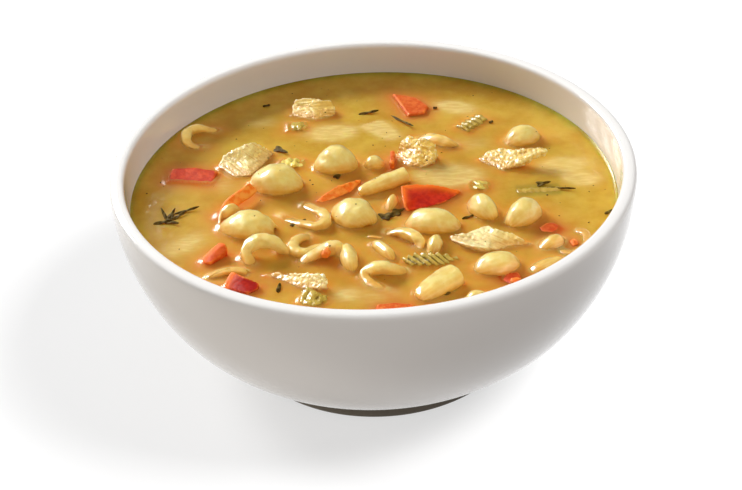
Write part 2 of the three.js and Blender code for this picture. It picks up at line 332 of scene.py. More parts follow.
brothTones = {
    "deep": (206, 160, 58), "golden": (226, 193, 84), "speckle": (236, 200, 120), "paintedLightNearPieces": (246, 160, 78),
    "paintedCarrotLight": (226, 128, 70), "pale": (248, 224, 148), "orange": (226, 84, 30), "meat": (238, 208, 146),
    "green": (170, 150, 66),
}


def brothFinish():
    broth = Finish("broth", brothTones)
    drift = broth.noise(16, detail=3)
    clouds = broth.noise(5, detail=4, roughness=0.6)
    base = broth.mix((drift * 0.7 + clouds * 0.5).step(0.4, 0.85), "deep", "golden")
    speckle = broth.noise(0.45, detail=2)
    base = broth.mix(speckle.step(0.62, 0.75) * 0.25, base, "speckle")
    # painted light: a bright warm rim round the standing pieces, which fills their cast shadows
    base = broth.mix(broth.painted("paintedLightNearPieces") * 0.75, base, "paintedLightNearPieces")
    # painted light: the orange light that carrot throws onto the broth round it
    base = broth.mix(broth.painted("paintedCarrotLight"), base, "paintedCarrotLight")
    # painted highlight: stretched lines brighten what shows of the sunk shells
    paintedHighlightStreak = broth.noise(1.1, detail=2, stretch=(0.3, 1, 1)).step(0.35, 0.7)
    base = broth.mix(broth.painted("pale") * (0.7 + paintedHighlightStreak * 0.4), base, "pale")
    for kind in ("orange", "meat", "green"):
        base = broth.mix(broth.painted(kind), base, kind)
    waves = broth.noise(7, detail=2)
    return broth.close({
        "Base Color": base,
        "Roughness": 0.16,
        "IOR": 1.33,
        "Specular IOR Level": 0.35,
        "Normal": broth.bump(waves + speckle * 0.04, 0.35, strength=0.5),
        **softness(0.8, (5, 2.2, 0.7), 1),
    })


pastaTones = {
    "dough": (245, 222, 138), "paleDough": (252, 236, 164), "low": (224, 170, 62), "paleLow": (236, 188, 78),
    "waterline": (214, 158, 58), "paintedCarrotLight": (230, 150, 90), "freckle": (190, 140, 70), "rib": (255, 240, 186),
}


def pastaFinish():
    pasta = Finish("pasta", pastaTones)
    mottle = pasta.noise(2.6, detail=3)
    dough = pasta.mix(mottle.step(0.35, 0.7), "dough", "paleDough")
    low = pasta.mix(mottle, "low", "paleLow")
    # a golden low part: the broth's stain, and partly painted shade on the lower side
    base = pasta.soak(dough, low, mottle * 1.4, 0.4, 5.2)
    base = pasta.soak(base, "waterline", mottle, 0.3, 2.5, share=0.85)
    # painted light: orange light thrown by carrot close by
    base = pasta.mix(pasta.painted("paintedCarrotLight"), base, "paintedCarrotLight")
    freckle = pasta.noise(0.55, detail=1).step(0.74, 0.8)
    base = pasta.mix(freckle * 0.3, base, "freckle")
    angle = pasta.painted("rib") * 28 + mottle * 4
    ribs = angle.math("SINE", angle)
    base = pasta.mix(ribs.step(-0.4, 1) * 0.1, base, "rib")
    dimples = pasta.noise(1.3, detail=3) * 0.5 + ribs * 0.06
    return pasta.close({
        "Base Color": base,
        "Roughness": 0.4,
        "IOR": 1.45,
        "Normal": pasta.bump(dimples, 0.2, strength=0.4),
        **softness(0.5, (1, 0.8, 0.5), 1.2),
        **wetness(1),
    })


chickenTones = {
    "flesh": (246, 210, 104), "paleFlesh": (255, 248, 198), "mottle": (236, 198, 110),
    "fibre": (214, 162, 70), "hollow": (204, 148, 68), "ridge": (255, 246, 206),
    "waterline": (206, 146, 64), "paintedCarrotLight": (226, 140, 80),
}


def chickenFinish():
    chicken = Finish("chicken", chickenTones)
    hollow = chicken.painted("hollow")
    run = chicken.node("ShaderNodeCombineXYZ", inputs={
        "X": chicken.painted("along") * 0.08, "Y": chicken.painted("across"),
    })
    fibre = chicken.noise(0.7, detail=1, where=run) + chicken.noise(1.5, detail=2) * 0.3 - 0.15
    # paleness: partly the meat's own tone, partly painted light on the side the light falls on
    pale = chicken.painted("paleness")
    flesh = chicken.mix(pale, "flesh", "paleFlesh")
    flesh = chicken.mix(chicken.noise(2.4, detail=3).step(0.35, 0.75) * 0.3, flesh, "mottle")
    flesh = chicken.mix(fibre.step(0.5, 0.7) * (0.6 - pale * 0.25), flesh, "fibre")
    # painted shade: the hollows are darker
    base = chicken.mix(hollow.step(0.56, 0.98) * 0.6, flesh, "hollow")
    # painted highlight: convex edges are lighter, where light grazes them
    base = chicken.mix((1 - hollow.step(0.1, 0.46)) * 0.6, base, "ridge")
    # broth stain low down, deepened as painted shade under the meat's lower, overhanging part
    base = chicken.soak(base, "waterline", chicken.noise(2) * 1.5, 0.3, 3)
    # painted light: orange light thrown by carrot close by
    base = chicken.mix(chicken.painted("paintedCarrotLight"), base, "paintedCarrotLight")
    grain = chicken.noise(0.45, detail=2)
    return chicken.close({
        "Base Color": base,
        "Roughness": 0.36,
        "IOR": 1.42,
        "Normal": chicken.bump(grain - fibre * 0.5, 0.3, strength=0.8),
        **softness(0.25, (1, 0.8, 0.45), 0.5),
        **wetness(0.5),
    })


carrotTones = {
    "red": (182, 30, 14), "brightRed": (208, 48, 18), "deepRedInShade": (150, 8, 6), "orange": (246, 124, 34),
    "paleOrange": (254, 168, 76), "rind": (248, 122, 36), "edge": (252, 150, 64),
    "waterline": (232, 104, 40),
}


def carrotFinish():
    carrot = Finish("carrot", carrotTones)
    grain = carrot.noise(1.6, detail=3)
    base = carrot.mix(grain.step(0.35, 0.7), "red", "brightRed")
    # painted shade, in part: a deeper red where the face is turned from the light
    base = carrot.mix(carrot.painted("thin") * -1, base, "deepRedInShade")
    thin = carrot.mix(grain.step(0.35, 0.65), "orange", "paleOrange")
    base = carrot.mix(carrot.painted("thin"), base, thin)
    base = carrot.mix(carrot.painted("rind"), base, "rind")
    # painted highlight: convex cut edges are paler
    base = carrot.mix(carrot.painted("edge"), base, "edge")
    base = carrot.soak(base, "waterline", grain, -0.6, 0.8, share=0.4)
    return carrot.close({
        "Base Color": base,
        "Roughness": 0.55,
        "Specular IOR Level": 0.15,
        "Normal": carrot.bump(carrot.noise(0.7, detail=3), 0.2, strength=0.6),
        **softness(0.3, (1, 0.4, 0.2), 0.6),
        **wetness(0.2),
    })


celeryTones = {
    "ridge": (178, 150, 58), "paleRidge": (246, 230, 130), "mottle": (176, 154, 56), "groove": (122, 98, 28),
    "waterline": (190, 150, 62),
}


def celeryFinish():
    celery = Finish("celery", celeryTones)
    base = celery.mix(celery.painted("paleness"), "ridge", "paleRidge")
    base = celery.mix(celery.noise(2, detail=2).step(0.4, 0.7) * 0.4, base, "mottle")
    # painted shade: the grooves are darker
    base = celery.mix(celery.painted("hollow").step(0.5, 0.85), base, "groove")
    base = celery.soak(base, "waterline", celery.noise(1.5), 0.1, 1.3)
    return celery.close({
        "Base Color": base,
        "Roughness": 0.35,
        "IOR": 1.42,
        "Normal": celery.bump(celery.noise(0.6, detail=2), 0.2, strength=0.5),
        **softness(0.2, (1, 0.9, 0.4), 0.6),
        **wetness(0.25),
    })


herbTones = {"leaf": (90, 72, 32), "paleLeaf": (134, 114, 54)}


def herbFinish():
    herb = Finish("herb", herbTones)
    return herb.close({
        "Base Color": herb.mix(herb.noise(1.2, detail=3).step(0.35, 0.65), "leaf", "paleLeaf"),
        "Roughness": 0.5,
        "Specular IOR Level": 0.05,
        "Normal": herb.bump(herb.noise(0.4, detail=2), 0.15, strength=0.8),
    })


bowl = {
    "sides": 192,
    "lip": 2.1 * mm,
    "outerDepth": 70 * mm,
    "innerDepth": 64 * mm,
    "floor": 7 * mm,
    "foot": 43.8 * mm,
    "footHeight": 4.4 * mm,
    "footWidth": 4.5 * mm,
    "rings": 22,
    "flatness": 0.66,  # of the lip's round: 1 is a half circle
    "tuck": 3.4 * mm,  # how far the wall draws in over the foot
    "tuckHeight": 20 * mm,
}
bowl["lipHeight"] = bowlTop.z - bowl["lip"]
bowl["innerRim"] = rimRadius - 2 * bowl["lip"]


def wallRadius(widest, depth, height):
    return widest * math.sqrt(1 - ((bowl["lipHeight"] - height) / depth) ** 2)


def innerRadius(height):
    return wallRadius(bowl["innerRim"], bowl["innerDepth"], height)


def bowlRings():
    # radius and height of each ring, from under the foot, over the lip, to the floor inside
    foot, start, rings, lip = bowl["foot"], bowl["footHeight"], bowl["rings"], bowl["lip"]
    hollow = foot - bowl["footWidth"]
    profile = [
        (hollow - 2 * mm, start), (hollow - 0.4 * mm, start), (hollow, start - 0.4 * mm),
        (hollow + 0.5 * mm, 0.5 * mm), (hollow + 1 * mm, 0), (foot - 1 * mm, 0), (foot - 0.3 * mm, 0.3 * mm),
        (foot, 1 * mm), (foot + 0.2 * mm, start - 0.5 * mm),
    ]
    base = math.asin((bowl["lipHeight"] - start) / bowl["outerDepth"])
    for k in range(rings):
        height = bowl["lipHeight"] - bowl["outerDepth"] * math.sin(base * (1 - k / rings))
        tuck = bowl["tuck"] * max(0, 1 - (height - start) / bowl["tuckHeight"]) ** 1.5
        profile.append((wallRadius(rimRadius, bowl["outerDepth"], height) - tuck, height))
    centre = rimRadius - lip
    for turn in range(0, 181, 12):
        angle = math.radians(turn)
        out, up = [math.copysign(abs(v) ** bowl["flatness"], v) for v in (math.cos(angle), math.sin(angle))]
        profile.append((centre + lip * out, bowl["lipHeight"] + lip * up))
    cove = bowl["floor"] + 2 * mm
    end = math.asin((bowl["lipHeight"] - cove) / bowl["innerDepth"])
    for k in range(1, rings + 1):
        height = bowl["lipHeight"] - bowl["innerDepth"] * math.sin(end * k / rings)
        profile.append((innerRadius(height), height))
    flat = innerRadius(cove) - 5 * mm
    profile += [(flat + 2.5 * mm, bowl["floor"] + 0.6 * mm), (flat, bowl["floor"])]
    return profile


def drawRings(name, sides, profile):
    radius, height = profile[0]
    circle = bpy.ops.mesh.primitive_circle_add
    piece = begin(name, circle, vertices=sides, radius=radius, location=(0, 0, height))
    settle(piece)
    openMesh("EDGE")
    bpy.ops.mesh.edge_face_add()
    bpy.ops.mesh.select_all(action="SELECT")
    drawOut(bpy.ops.mesh.extrude_region_move, profile)
    closeMesh()
    return piece


def makeBowl():
    piece = drawRings("soup_bowl", bowl["sides"], bowlRings())
    smooth(piece)
    dress(piece, glazeFinish(), "glaze", "bowl")
    return piece


pastaLook = {
    "levels": 3,
    "taper": 0.22,
    "waver": (4.2, 0.9),  # size and depth of a pattern, in mm, as in the other looks
    "dimple": (1.6, 0.32),
    "tubeSides": 20,
    "tubeEdge": 0.3 * mm,
}

# how each closed shell swelled while cooking: its shift in mm and its growth along X, Y and Z
swelling = {
    "shell_back_left": ((0, 0, 0), (0.97, 0.97, 1.28)),
    "shell_back_middle": ((0, 0.2, 0), (0.97, 1, 1.38)),
    "shell_back_right": ((0, 0, 0), (0.97, 0.97, 1.34)),
    "shell_behind_meat": ((-0.6, 0.2, 0), (1.05, 1, 1.4)),
    "shell_behind_sliver": ((-0.1, 0, 0), (0.97, 0.95, 1.1)),
    "shell_blade": ((-0.1, 0, 0), (1, 1, 1.1)),
    "shell_far_right": ((-0.6, 0.2, 0), (1, 0.97, 1.24)),
    "shell_front_right": ((0, 0, 0), (0.97, 0.95, 1.1)),
    "shell_front_rim": ((-0.3, 0.2, 0), (0.95, 0.95, 1.15)),
    "shell_left": ((-0.3, 0, 0), (0.99, 0.95, 1.16)),
    "shell_left_rim": ((0.3, 0.4, 0.9), (1, 1, 1)),
    "shell_middle": ((0.5, 0, 0), (1.22, 0.97, 1.22)),
    "shell_right": ((0, 0, 0), (0.96, 0.95, 1.26)),
    "shell_right_back": ((-0.3, 0, 0), (0.95, 0.95, 1.22)),
    "shell_right_low": ((-0.4, 0, 0.3), (1.4, 1.4, 2.4)),
    "shell_tip_back": ((0, 0, 0), (1, 1, 1.1)),
    "shell_tip_front": ((-0.7, 0, 0), (1.3, 1.1, 1.8)),
    "shell_tip_left": ((-0.9, 0, 0), (1.3, 1.1, 1.3)),
    "shell_upright": ((-1.2, 0, 0), (1.35, 1, 1.3)),
}

# half shells lying on their side like short tubes: two ends, then how wide along the way, in mm
tubes = {
    "shell_long": ((-4.6, -2.9, 0.5), (10.1, 4.5, 1.7), [
        (0.3, 0), (1.4, 0.3), (2.1, 1.3), (2.6, 4), (2.7, 9), (2.7, 13), (2.6, 15.9), (2.3, 16.3),
        (1.7, 16.3), (1.5, 15.3),
    ]),
    "shell_front_long": ((10.2, -54.6, -0.5), (21.3, -45.7, 0.4), [
        (0.5, 0), (2.2, 0.6), (3.2, 2.2), (3.9, 5.5), (4.1, 10), (4.1, 13.6), (3.8, 14.1), (3.1, 14.1),
        (2.8, 12.8),
    ]),
    "shell_right_rim": ((40.8, -44.4, -0.9), (51.9, -39.2, -0.7), [
        (0.3, 0), (1.3, 0.8), (2.2, 2.6), (2.8, 5.2), (2.9, 7.4), (2.3, 9.8), (1.2, 11.6), (0.3, 12.2),
    ]),
}

# shells that lie open: the route of the lip, in mm along X and Y and above the soup
lips = {
    "shell_cup_left": [
        (-32, -37.2, -1.2), (-34.6, -34.7, 1.2), (-36.1, -33.3, 3.4), (-34.6, -31.1, 5.4),
        (-30.7, -30.4, 6.6), (-27.3, -30.5, 4.6), (-25, -30.9, 2.4), (-22.4, -30.1, -0.6),
    ],
    "shell_cup_middle": [
        (-22.6, -5.4, -0.8), (-18.7, -9, 1.4), (-15.4, -12.4, 2.2), (-13.5, -16.6, 2.4), (-15.3, -19.8, 2.2),
        (-19.4, -18.8, 1.6), (-23.6, -15.2, 1.1), (-28.6, -10.4, -0.8),
    ],
    "shell_hook": [
        (-17.6, -23.4, -0.3), (-19.7, -24.6, 1.6), (-21.6, -26.1, 2.5), (-23.1, -29.6, 2.7),
        (-21.8, -32.4, 2.3), (-18.7, -32.2, 2), (-15.2, -30.6, 2), (-11.6, -29.9, 2.6), (-9.4, -31.4, 0.6),
    ],
    "shell_torn": [
        (-21, -36.1, 0.2), (-18.1, -34.4, 2), (-14.7, -32.7, 3.2), (-11.6, -32.1, 4), (-9.6, -32.9, 3.6),
        (-9.9, -34.3, 1.6), (-10.8, -35, -0.4),
    ],
    "shell_left_wall": [
        (-46.6, 36, -0.8), (-51, 38, 1.3), (-54.5, 37.7, 2.4), (-57.4, 36, 2.9), (-58.2, 32.5, 2.4),
        (-57, 28.9, 1.4), (-54.2, 27.3, 0.7), (-50, 28.6, -0.8),
    ],
    "shell_hood": [
        (2.2, -22.2, -0.6), (5.2, -23.7, 2.2), (8.7, -25.6, 3.4), (11.8, -28.4, 3.2), (12.5, -30.6, 1.8),
        (11, -32.4, -0.9),
    ],
    "shell_front_cup": [
        (7.4, -52.2, -1.2), (2, -49.6, 0.3), (-1, -47.2, 0.8), (-3, -44.7, 1.3), (-3.4, -43.8, 2),
        (-1.6, -42.7, 3.6), (0.8, -42.5, 4.2), (3.8, -42.8, 3.4), (6.5, -42.4, 1.8), (9.6, -41.6, -1),
    ],
}
lipLook = {"drop": (0, 0, -1.4), "steps": 3, "flare": 1.05, "thickness": 3.1}


def atSoup(x, y, up):
    # a place in mm, its height counted from the soup's level
    return Vector((x * mm, y * mm, soupLevel + up * mm))


def drawRoute(name, route):
    # a smooth line through the air as a chain of edges
    line = bpy.data.curves.new(name, "CURVE")
    line.dimensions = "3D"
    spline = line.splines.new("NURBS")
    spline.points.add(len(route) - 1)
    for point, place in zip(spline.points, route):
        point.co = (*atSoup(*place), 1)
    spline.order_u = 4
    spline.use_endpoint_u = True
    spline.resolution_u = 3
    pick(addObject(name, line))
    bpy.ops.object.convert(target="MESH")
    return bpy.context.object


def drawWall(name, route, drop, steps, flare, thickness):
    # a sheet hung from a route, then thickened
    wall = drawRoute(name, route)
    centre = Vector([sum(p[k] for p in route) / len(route) for k in range(3)]) * mm
    openMesh("EDGE")
    for _ in range(steps):
        bpy.ops.mesh.extrude_edges_move(TRANSFORM_OT_translate={"value": [v * mm for v in drop]})
        bpy.ops.transform.resize(value=(flare, flare, 1), center_override=centre)
    bpy.ops.object.mode_set(mode="OBJECT")
    finishModifier(wall, "SOLIDIFY", thickness=thickness * mm, offset=0)
    openMesh()
    closeMesh()
    subdivide(wall, 2)
    return wall


def drawTube(name, start, end, profile):
    rings = [(radius * mm, along * mm) for radius, along in profile]
    tube = drawRings(name, pastaLook["tubeSides"], rings)
    start, end = atSoup(*start), atSoup(*end)
    lay = (end - start).to_track_quat("Z", "Y").to_matrix().to_4x4()
    tube.data.transform(Matrix.Translation(start) @ lay)
    roundEdges(tube, pastaLook["tubeEdge"], 30)
    subdivide(tube, 2)
    return tube


def swell(piece, node):
    # grows a piece about the middle of its waterline and shifts it
    shift, growth = swelling[node]
    low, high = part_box(node)
    middle = Vector(((low.x + high.x) / 2, (low.y + high.y) / 2, soupLevel))
    onward = Matrix.Translation(middle + Vector(shift) * mm)
    piece.data.transform(onward @ Matrix.Diagonal((*growth, 1)) @ Matrix.Translation(-middle))


def layOut(piece):
    # seen from above: a piece's middle, its long direction, the direction across, and half its length
    points = [point.co for point in piece.data.vertices]
    middle = sum(points, Vector()) / len(points)
    spread = [sum((p.x - middle.x) ** 2 for p in points), sum((p.y - middle.y) ** 2 for p in points)]
    skew = sum((p.x - middle.x) * (p.y - middle.y) for p in points)
    angle = math.atan2(2 * skew, spread[0] - spread[1]) / 2
    along = Vector((math.cos(angle), math.sin(angle), 0))
    across = Vector((-along.y, along.x, 0))
    return middle, along, across, max(abs((p - middle).dot(along)) for p in points)


def taperEnds(piece, amount):
    middle, along, across, half = layOut(piece)
    for point in piece.data.vertices:
        share = amount * ((point.co - middle).dot(along) / half) ** 2
        point.co -= across * (point.co - middle).dot(across) * share
        point.co.z = soupLevel + (point.co.z - soupLevel) * (1 - share / 2)


def paintRibs(piece):
    # the angle about the long direction, along which the ribs run
    middle, _, across, _ = layOut(piece)
    axis = soupLevel - 2 * mm
    places = [point.co for point in piece.data.vertices]
    paint(piece, "rib", [math.atan2(p.z - axis, (p - middle).dot(across)) for p in places])


def cookShell(node, name=None):
    name = name or node.replace("shell", "pasta")
    if node in lips:
        shell = drawWall(name, lips[node], **lipLook)
    elif node in tubes:
        shell = drawTube(name, *tubes[node])
    else:
        shell = cageOf(node, name)
        subdivide(shell, pastaLook["levels"])
        swell(shell, node)
        taperEnds(shell, pastaLook["taper"])
    roughen(shell, "CLOUDS", *pastaLook["waver"], noise_depth=1)
    roughen(shell, "CLOUDS", *pastaLook["dimple"], noise_depth=2)
    if node not in lips:
        paintRibs(shell)
    smooth(shell)
    return shell


# rims of shells that lie almost wholly under the surface: thickness and route
rims = {
    "rim_right": (2.4, [
        (55.9, -25.4, 0.4), (58.4, -25.7, 0.9), (59.2, -29.7, 0.9), (58.1, -33.2, 0.8), (55.8, -36.1, 0.6),
        (51.9, -36.7, 0.5), (50.6, -34.1, 0.1),
    ]),
    "rim_tip_left": (0.9, [(-42.3, -9.7, 3), (-44.1, -11.7, 2.4), (-44.8, -14.1, 1.6), (-44.1, -16, 0.4)]),
    "rim_line": (0.9, [(-2.3, -24.7, 0.4), (-0.1, -25, 0.6), (1.9, -25.8, 0.4)]),
    "rim_left_front": (2.4, [
        (-46.6, -41.2, 0.4), (-43.6, -40.1, 1.1), (-41.7, -39.6, 1.5), (-39.8, -39.3, 1.6),
        (-36.3, -39.3, 1.4), (-34.9, -39.9, 0.5),
    ]),
}
rimLook = {"drop": (0, 0, -0.9), "steps": 2, "flare": 1.02}
rimWaver = (3, 0.3)


def layRim(name, thickness, route):
    rim = drawWall(name, route, thickness=thickness, **rimLook)
    roughen(rim, "CLOUDS", *rimWaver, noise_depth=1)
    smooth(rim)
    return rim


# what lies just under the surface: like which shell, where, how far down its top, its turn and its size
sunkShells = {
    "sunk_back": ("shell_left", (-12.6, 33.7, 0.12), 14, (1.2, 1.2, 0.7)),
    "sunk_back_middle": ("shell_front_long", (3, 34.3, 0.05), 80, (0.9, 1.1, 0.6)),
    "sunk_back_right": ("shell_right", (27.3, 47.2, 0.05), -14, (1, 1, 0.7)),
    "sunk_centre": ("shell_right", (22.5, 6.4, 0.05), 6, (1.4, 1.5, 0.6)),
    "sunk_right": ("shell_right", (56.5, 9, 0.2), 24, (1.1, 1.2, 0.6)),
    "sunk_far_right": ("shell_right_back", (61.1, 1.6, 0.1), 40, (1.2, 1.2, 0.6)),
    "sunk_left": ("shell_right", (-53.7, -25, 1.2), 56, (1.35, 1.3, 0.9)),
    "sunk_front": ("shell_middle", (-8.4, -51.3, 0.8), 10, (0.8, 0.7, 0.8)),
    "sunk_back_left": ("shell_right", (-35.2, 41.7, 1.6), 12, (0.9, 0.8, 0.8)),
    "sunk_low_front": ("shell_right", (-2, -51.7, 2.2), 30, (1.2, 1.2, 0.9)),
    "sunk_low_middle": ("shell_right", (0, -2.4, 2.6), -30, (1.1, 1.2, 0.9)),
    "sunk_low_right": ("shell_right", (30, 23.7, 2.4), 20, (1.2, 1.2, 0.9)),
    "sunk_low_left": ("shell_right", (-44.2, 5.6, 2.4), -40, (1.2, 1.2, 0.9)),
}


def sinkShell(name, like, place, turn, size):
    shell = cookShell(like, name)
    corners = [Vector(corner) for corner in shell.bound_box]
    centre = sum(corners, Vector()) / 8
    centre.z = max(corner.z for corner in corners)
    x, y, down = place
    spin = Matrix.Rotation(math.radians(turn), 4, "Z") @ Matrix.Diagonal((*size, 1))
    shell.data.transform(Matrix.Translation(atSoup(x, y, -down)) @ spin @ Matrix.Translation(-centre))
    return shell


plate = {"underside": 0.92, "crownWidth": 0.5 * mm}


def makePlate(name, outline, thickness, crown, grain):
    # an uneven torn or cut plate: its outline is the upper edge, in mm along X and Y and above the soup
    circle = bpy.ops.mesh.primitive_circle_add
    slab = begin(name, circle, vertices=len(outline), radius=mm, fill_type="NGON")
    for point, place in zip(slab.data.vertices, outline):
        point.co = atSoup(*place)
    centre = sum((v.co for v in slab.data.vertices), Vector()) / len(outline)
    openMesh()
    bpy.ops.mesh.poke()
    bpy.ops.mesh.extrude_region_move(TRANSFORM_OT_translate={"value": (0, 0, -thickness * mm)})
    share = plate["underside"]
    bpy.ops.transform.resize(value=(share, share, 1), center_override=centre)
    closeMesh()
    for point in slab.data.vertices:
        inward = (point.co.xy - centre.xy).length < plate["crownWidth"]
        if inward and point.co.z > centre.z - 0.5 * thickness * mm:
            point.co.z += crown * mm
    remesh(slab, grain)
    return slab


chickenLook = {
    # thickness, crown, which way the fibres run, depth of the fibres, lumps and crumbs, paleness at the
    # west and the east end (partly the meat's own tone, partly painted light on its brighter side), and the
    # upper edge
    "chicken_left": (4, 0.7, -60, 0.4, 0.91, 0.3, (1, 0.5), [
        (-46.9, 15.1, 1.2), (-45.2, 17.5, 3.2), (-42.9, 17.9, 4.4), (-40.6, 18.8, 4.9), (-38.3, 20, 5.6),
        (-35.5, 20.9, 5.6), (-32.8, 21.4, 3.4), (-30.7, 22.4, 1.4), (-30, 22.1, 0.6), (-33.5, 14.4, 0.6),
        (-37, 9.3, 0.8), (-41.9, 9.4, 0.5), (-44.4, 12.3, 0.6),
    ]),
    "chicken_back": (5, 0.4, 2, 0.5, 0.39, 0.25, (0.5, 0.15), [
        (-25, 48.4, 2.6), (-24.2, 49, 4.1), (-20.7, 49, 4.6), (-16.7, 48.2, 4.7), (-15.5, 47.6, 4.2),
        (-12.4, 47.7, 4.2), (-11.2, 46.8, 2.2), (-11.4, 44, 0.2), (-17.4, 42, 0.2), (-22.6, 43.6, 0.2),
        (-25.2, 45.3, 0.6),
    ]),
    "chicken_middle": (5, 1.6, -52, 0.6, 1.3, 0.5, (0, 0.1), [
        (7.1, 17.9, 1), (7.8, 18.7, 3.6), (9.5, 19.3, 5.4), (11.3, 19.7, 6.4), (14.4, 17.9, 6.4),
        (17.4, 17.6, 5.8), (19.7, 16.9, 5), (19.7, 14.4, 3), (18.2, 12.1, 1.4), (17.1, 11.5, 0.8),
        (14, 10.6, 0.3), (11, 11.7, 0.2), (8.1, 14.1, 0.2),
    ]),
    "chicken_right": (2, 1.2, 14, 0.3, 0.91, 0.9, (0.15, 0.3), [
        (32.2, 13.7, 0.6), (34.3, 15.3, 2), (38.4, 15.6, 3.2), (43.1, 13.1, 4), (46.8, 12.3, 4.8),
        (50.1, 12.5, 5.4), (52.1, 11.5, 5), (52.6, 10.4, 4.6), (50.3, 9.8, 4.4), (48, 9.5, 4.2),
        (47.6, 8.7, 3.4), (43.7, 8.1, 2.2), (40.7, 7.6, 1.1), (38.5, 7.5, 0.4), (37.2, 8.9, 0.3),
        (34, 11.2, 0.3),
    ]),
    "chicken_front_right": (4, 1, -40, 0.2, 0.65, 0.45, (1.5, 0), [
        (20.5, -26.8, 0.8), (21.4, -27.5, 1.8), (25.6, -27.4, 2.2), (28.7, -26, 2.8), (31.4, -26, 3.4),
        (33.7, -28.2, 3.6), (38.5, -29.2, 2.4), (41.2, -31.1, 1.4), (44, -31.8, 0.4), (41.2, -32.4, 0.1),
        (36.9, -33.1, 0.2), (32.7, -34.4, 1), (30.3, -35.3, 2.2), (27, -34.2, 2), (23.4, -31.7, 1.6),
        (21.1, -28.8, 0.8),
    ]),
    "chicken_front_left": (3, 0.8, -8, 0.2, 0.91, 0.9, (0.1, 0.8), [
        (-30.4, -41.2, 0.3), (-27.7, -41.2, 1.2), (-24.1, -43.1, 2.2), (-19.7, -44.7, 3.2),
        (-16.6, -45.9, 3.6), (-14.3, -46.8, 4.2), (-13, -48.3, 3.4), (-13, -48.9, 2.2),
        (-14.7, -49.4, 1.2), (-17.4, -49.2, 0.8), (-20.8, -47.9, 0.6), (-24.9, -44.7, 0.5),
        (-28.4, -42.5, 0.3),
    ]),
}
chickenGrain = {
    "voxel": 0.26, "rounds": 11, "reach": 0.045,
    "lump": 3.4, "fibre": 0.9, "fibreLength": 8, "crumb": 1,
}


def tearChicken(node):
    thickness, crown, run, fibre, lump, crumb, (west, east), outline = chickenLook[node]
    size = chickenGrain
    meat = makePlate(node.replace("chicken", "meat"), outline, thickness, crown, size["voxel"])
    relax(meat, size["rounds"])
    roughen(meat, "CLOUDS", size["lump"], lump, noise_depth=2)
    roughen(meat, "CLOUDS", size["fibre"], fibre, (size["fibreLength"], 1, 1), run, noise_depth=1)
    roughen(meat, "CLOUDS", size["crumb"], crumb, noise_depth=2)
    paintHollows(meat, reach=size["reach"] * mm, rounds=1)
    angle = math.radians(run)
    onward = Vector((math.cos(angle), math.sin(angle), 0))
    points = [point.co for point in meat.data.vertices]
    first, last = min(p.x for p in points), max(p.x for p in points)
    # paleness runs from the west to the east end: the meat's own tone, with painted light on its brighter
    # side
    paint(meat, "paleness", [west + (east - west) * (p.x - first) / (last - first) for p in points])
    paint(meat, "along", [p.dot(onward) for p in points])
    paint(meat, "across", [p.y * onward.x - p.x * onward.y + p.z for p in points])
    smooth(meat)
    return meat


carrotLook = {
    "round": 0.55 * mm,  # of the cut edges
    "crown": 0.3,
    "voxel": 0.34,
    "waver": (2.6, 0.2),
    "grain": (0.8, 0.1),
    "edge": (0.36, 4),  # below which ridge value the edges are painted paler as highlights, and how fast
    "rindWidth": 0.7 * mm,
    # how orange and see-through each is, and below 0 how deep its red, painted darker partly for the shade
    # on a face turned from the light
    "thin": {
        "carrot_shaving": 1, "carrot_strip": 0.85, "carrot_sliver": 0.4, "carrot_front": 0.5,
        "carrot_back": 0.4, "carrot_left": 0.12, "carrot_front_left": -0.5, "carrot_bar": 0.25,
        "carrot_right": 0.3, "carrot_front_right": 0.2, "carrot_bit_right": 0.5, "carrot_bit_front": 0.7,
        "carrot_bit_torn": 0.7,
    },
    # which sides of a piece show the paler outside of the root
    "rind": {
        "carrot_wedge": [(7.7, -11), (7.9, -4.9), (11.2, -4.2), (15.9, -3.7), (20.8, -3.6), (25.5, -3.6)],
        "carrot_bar": [(-48, -33.8), (-45.2, -30.9), (-43, -29.1)],
        "carrot_front_left": [(-41, -46.4), (-40.2, -44.7), (-38.7, -43.4)],
    },
}

